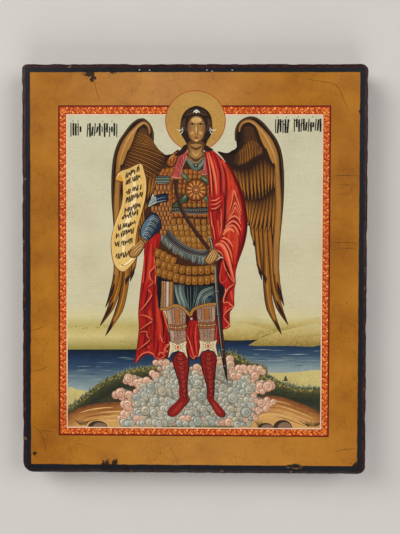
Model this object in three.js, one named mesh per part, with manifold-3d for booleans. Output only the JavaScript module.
// Painted wooden icon panel, lying on its back with the painted face up.
// One thick board with worn, rounded arrises, rubbed corners and chipped paint ground, and two
// tapered battens driven from opposite sides into dovetail grooves in its back.
// Millimetres. X runs across the panel, Y up the picture, Z out of the painted face.
// The origin is midway between the sides, on the plane that the battens rest on.
import * as THREE from "three";
import { mergeVertices } from "three/addons/utils/BufferGeometryUtils.js";
import Module from "manifold-3d";

const wasm = await Module();
wasm.setup();

// Board
const boardWidth = 261;
const boardHeight = 310;
const boardThickness = 25;
const backChamfer = 1.2;
const arrisRadius = 2.2;
const arrisShareOfCorner = 0.9;
const topLeftRadius = 4;
const topRightRadius = 5.5;
const bottomRightRadius = 6;
const bottomLeftRadius = 8;

// Wear: how far the planed sides and the front arris are rubbed back, the lengths of unevenness
// that add up to it, and how finely it is drawn
const sideWear = 0.6;
const arrisWear = 0.9;
const wearPitches = [61, 37, 17];
const sideWearPhase = 0.7;
const arrisWearPhase = 2.1;
const outlineStep = 7;
const cornerSteps = 5;
const arrisSteps = 4;

// Chips in the paint ground, along the inner side of the dark edge line
const edgeLineWidth = 6;
const chipDepth = 0.9;

// Battens
const battenWideEnd = 34;
const battenNarrowEnd = 26;
const battenProud = 2.5;
const battenChamfer = 0.8;
const battenSetback = 0.8;
const battenSpacing = 166;
const grooveDepth = 9;
const grooveStop = 16;
const grooveClearance = 0.3;
const dovetailAngle = THREE.MathUtils.degToRad(10);

// How far a cutting shape runs past the board, and how near two corners of it are one
const cutOverrun = 1;
const weldTolerance = 1e-4;

const wood = new THREE.Color(0.42, 0.27, 0.14);
const ochre = new THREE.Color(0.68, 0.45, 0.17);

const boardBack = battenProud;
const boardFace = boardBack + boardThickness;

// Closed geometry to solid, and back
function toSolid(geometry) {
  const bare = geometry.index ? geometry.toNonIndexed() : geometry.clone();
  bare.deleteAttribute("normal");
  bare.deleteAttribute("uv");
  const merged = mergeVertices(bare, weldTolerance);
  return new wasm.Manifold(
    new wasm.Mesh({
      numProp: 3,
      vertProperties: merged.attributes.position.array,
      triVerts: new Uint32Array(merged.index.array),
    }),
  );
}

function toGeometry(solid) {
  const mesh = solid.getMesh();
  const geometry = new THREE.BufferGeometry();
  geometry.setAttribute("position", new THREE.BufferAttribute(mesh.vertProperties, 3));
  geometry.setIndex(new THREE.BufferAttribute(mesh.triVerts, 1));
  const flat = geometry.toNonIndexed();
  flat.computeVertexNormals();
  return flat;
}

// Skins a stack of closed rings, each a list of points in the same order, and caps both ends
function skinRings(rings) {
  const around = rings[0].length;
  const positions = rings.flat().flatMap((point) => point.toArray());
  const faces = [];
  for (let level = 0; level + 1 < rings.length; level++) {
    for (let i = 0; i < around; i++) {
      const next = (i + 1) % around;
      const lower = level * around;
      const upper = lower + around;
      faces.push(lower + i, lower + next, upper + next);
      faces.push(lower + i, upper + next, upper + i);
    }
  }
  const capOf = (ring) => {
    const flatRing = ring.map((point) => new THREE.Vector2(point.x, point.y));
    return THREE.ShapeUtils.triangulateShape(flatRing, []);
  };
  for (const [a, b, c] of capOf(rings[0])) faces.push(a, c, b);
  const top = (rings.length - 1) * around;
  for (const [a, b, c] of capOf(rings.at(-1))) faces.push(top + a, top + b, top + c);
  const geometry = new THREE.BufferGeometry();
  geometry.setAttribute("position", new THREE.Float32BufferAttribute(positions, 3));
  geometry.setIndex(faces);
  return geometry;
}

// The board's outline seen from the front, anticlockwise from the lower left: each stop has its
// place on the full rectangle, the way out of the board, its side and the distance run so far
function boardOutline() {
  const halfWidth = boardWidth / 2;
  const halfHeight = boardHeight / 2;
  const corners = [
    { x: halfWidth, y: -halfHeight, radius: bottomRightRadius },
    { x: halfWidth, y: halfHeight, radius: topRightRadius },
    { x: -halfWidth, y: halfHeight, radius: topLeftRadius },
    { x: -halfWidth, y: -halfHeight, radius: bottomLeftRadius },
  ];
  const stops = [];
  let run = 0;
  corners.forEach((corner, index) => {
    const before = corners[(index + 3) % 4];
    const along = new THREE.Vector2(corner.x - before.x, corner.y - before.y);
    const reach = along.length();
    along.normalize();
    const outward = new THREE.Vector2(along.y, -along.x);
    const straight = reach - before.radius - corner.radius;
    const steps = Math.max(2, Math.round(straight / outlineStep));
    for (let i = 0; i <= steps; i++) {
      const covered = before.radius + (straight * i) / steps;
      const place = new THREE.Vector2(before.x, before.y).addScaledVector(along, covered);
      stops.push({ place, outward, side: index, run: run + covered });
    }
    const centre = new THREE.Vector2(corner.x, corner.y)
      .addScaledVector(along, -corner.radius)
      .addScaledVector(outward, -corner.radius);
    for (let i = 1; i < cornerSteps; i++) {
      const turned = outward.clone().rotateAround(new THREE.Vector2(), (Math.PI / 2) * (i / cornerSteps));
      const place = centre.clone().addScaledVector(turned, corner.radius);
      stops.push({ place, outward: turned, side: index, run: run + reach });
    }
    run += reach;
  });
  return stops;
}

// Uneven rubbing along the outline: 0 where the planed wood is whole, up to 1 where most is gone
function rubbing(run, phase) {
  const waves = wearPitches.map((pitch, i) => Math.sin((2 * Math.PI * run) / pitch + phase * (i + 1)));
  return Math.max(0, waves.reduce((sum, wave) => sum + wave, 0) / waves.length);
}

// Board with its rounded front arris; the lower side, which it is stood on, stays straight
function boardBlank() {
  const stops = boardOutline();
  const sideLoss = (stop) => (stop.side === 0 ? 0 : sideWear * rubbing(stop.run, sideWearPhase));
  const ringAt = (heightOf, insetOf) =>
    stops.map((stop) => {
      const inset = sideLoss(stop) + insetOf(stop);
      const place = stop.place.clone().addScaledVector(stop.outward, -inset);
      return new THREE.Vector3(place.x, place.y, heightOf(stop));
    });
  const sharpestCorner = Math.min(topLeftRadius, topRightRadius, bottomRightRadius, bottomLeftRadius);
  const roundOf = (stop) => {
    const worn = arrisRadius + arrisWear * rubbing(stop.run, arrisWearPhase);
    return Math.min(worn, arrisShareOfCorner * sharpestCorner);
  };
  const rings = [
    ringAt(() => boardBack, () => backChamfer),
    ringAt(() => boardBack + backChamfer, () => 0),
  ];
  for (let i = 0; i <= arrisSteps; i++) {
    const turned = (Math.PI / 2) * (i / arrisSteps);
    rings.push(
      ringAt(
        (stop) => boardFace - roundOf(stop) * (1 - Math.sin(turned)),
        (stop) => roundOf(stop) * (1 - Math.cos(turned)),
      ),
    );
  }
  return toSolid(skinRings(rings));
}

// Bar along X with dovetailed sides: widest on its upper face, from one end to the other
function dovetailBar({ fromX, toX, fromWidth, toWidth, top, bottom, chamfer }) {
  const spread = Math.tan(dovetailAngle);
  const sectionAt = (x, width) => {
    const halfAt = (z) => width / 2 - (top - z) * spread;
    const right = [
      [halfAt(bottom) - chamfer, bottom],
      [halfAt(bottom + chamfer), bottom + chamfer],
      [halfAt(top), top],
    ];
    const left = right.map(([y, z]) => [-y, z]).reverse();
    return [...right, ...left].map(([y, z]) => new THREE.Vector3(y, z, x));
  };
  // Skinned upwards along its own length, then laid along X
  const bar = skinRings([sectionAt(fromX, fromWidth), sectionAt(toX, toWidth)]);
  bar.applyMatrix4(new THREE.Matrix4().makeBasis(
    new THREE.Vector3(0, 1, 0),
    new THREE.Vector3(0, 0, 1),
    new THREE.Vector3(1, 0, 0),
  ));
  return bar;
}

// Both battens taper; the lower one is the upper one turned end for end
const battenEntry = -boardWidth / 2;
const battenStop = boardWidth / 2 - grooveStop;
const battenTop = boardBack + grooveDepth;

function battenBar() {
  return dovetailBar({
    fromX: battenEntry + battenSetback,
    toX: battenStop - grooveClearance,
    fromWidth: battenWideEnd,
    toWidth: battenNarrowEnd,
    top: battenTop - grooveClearance,
    bottom: boardBack - battenProud,
    chamfer: battenChamfer,
  });
}

// The groove keeps the batten's taper, runs out of the board's side and below its back
function grooveBar() {
  const overrun = battenSetback + cutOverrun;
  const taper = (battenWideEnd - battenNarrowEnd) / (battenStop - battenEntry);
  const room = 2 * grooveClearance;
  return dovetailBar({
    fromX: battenEntry - overrun,
    toX: battenStop,
    fromWidth: battenWideEnd + room + taper * overrun,
    toWidth: battenNarrowEnd + room,
    top: battenTop,
    bottom: boardBack - battenProud - cutOverrun,
    chamfer: 0,
  });
}

const battenPlaces = [
  { name: "upper_batten", y: battenSpacing / 2, turn: 0 },
  { name: "lower_batten", y: -battenSpacing / 2, turn: Math.PI },
];

function placedGroove({ y, turn }) {
  const geometry = grooveBar();
  geometry.rotateZ(turn);
  geometry.translate(0, y, 0);
  return toSolid(geometry);
}

// A chip is a shallow faceted hollow: length runs along the edge, breadth across it
function chip({ side, along, length, breadth }) {
  const geometry = new THREE.IcosahedronGeometry(1, 1);
  geometry.scale(length / 2, breadth / 2, chipDepth);
  const reach = (side.vertical ? boardWidth : boardHeight) / 2 - edgeLineWidth;
  if (side.vertical) geometry.rotateZ(Math.PI / 2);
  const place = side.vertical ? [side.sign * reach, along] : [along, side.sign * reach];
  geometry.translate(place[0], place[1], boardFace);
  return toSolid(geometry);
}

const leftSide = { vertical: true, sign: -1 };
const rightSide = { vertical: true, sign: 1 };
const topSide = { vertical: false, sign: 1 };
const bottomSide = { vertical: false, sign: -1 };
const chips = [
  { side: topSide, along: -79, length: 10, breadth: 9 },
  { side: topSide, along: -68, length: 12, breadth: 4 },
  { side: leftSide, along: 83, length: 11, breadth: 3 },
  { side: leftSide, along: -43, length: 8, breadth: 4 },
  { side: leftSide, along: -80, length: 8, breadth: 3 },
  { side: rightSide, along: 55, length: 14, breadth: 5 },
  { side: rightSide, along: -45, length: 11, breadth: 7 },
  { side: rightSide, along: -92, length: 8, breadth: 3 },
  { side: bottomSide, along: -69, length: 16, breadth: 5 },
  { side: bottomSide, along: 77, length: 13, breadth: 4 },
];

function boardSolid() {
  const cuts = [...battenPlaces.map(placedGroove), ...chips.map(chip)];
  return cuts.reduce((solid, cut) => solid.subtract(cut), boardBlank());
}

function named(name, geometry, material) {
  const mesh = new THREE.Mesh(geometry, material);
  mesh.name = name;
  return mesh;
}

const paintedWood = new THREE.MeshStandardMaterial({ color: ochre, roughness: 0.45, metalness: 0 });
const bareWood = new THREE.MeshStandardMaterial({ color: wood, roughness: 0.8, metalness: 0 });

const panel = new THREE.Group();
panel.name = "icon_panel";
panel.add(named("board", toGeometry(boardSolid()), paintedWood));
for (const { name, y, turn } of battenPlaces) {
  const batten = named(name, battenBar(), bareWood);
  batten.position.y = y;
  batten.rotation.z = turn;
  panel.add(batten);
}

export default panel;
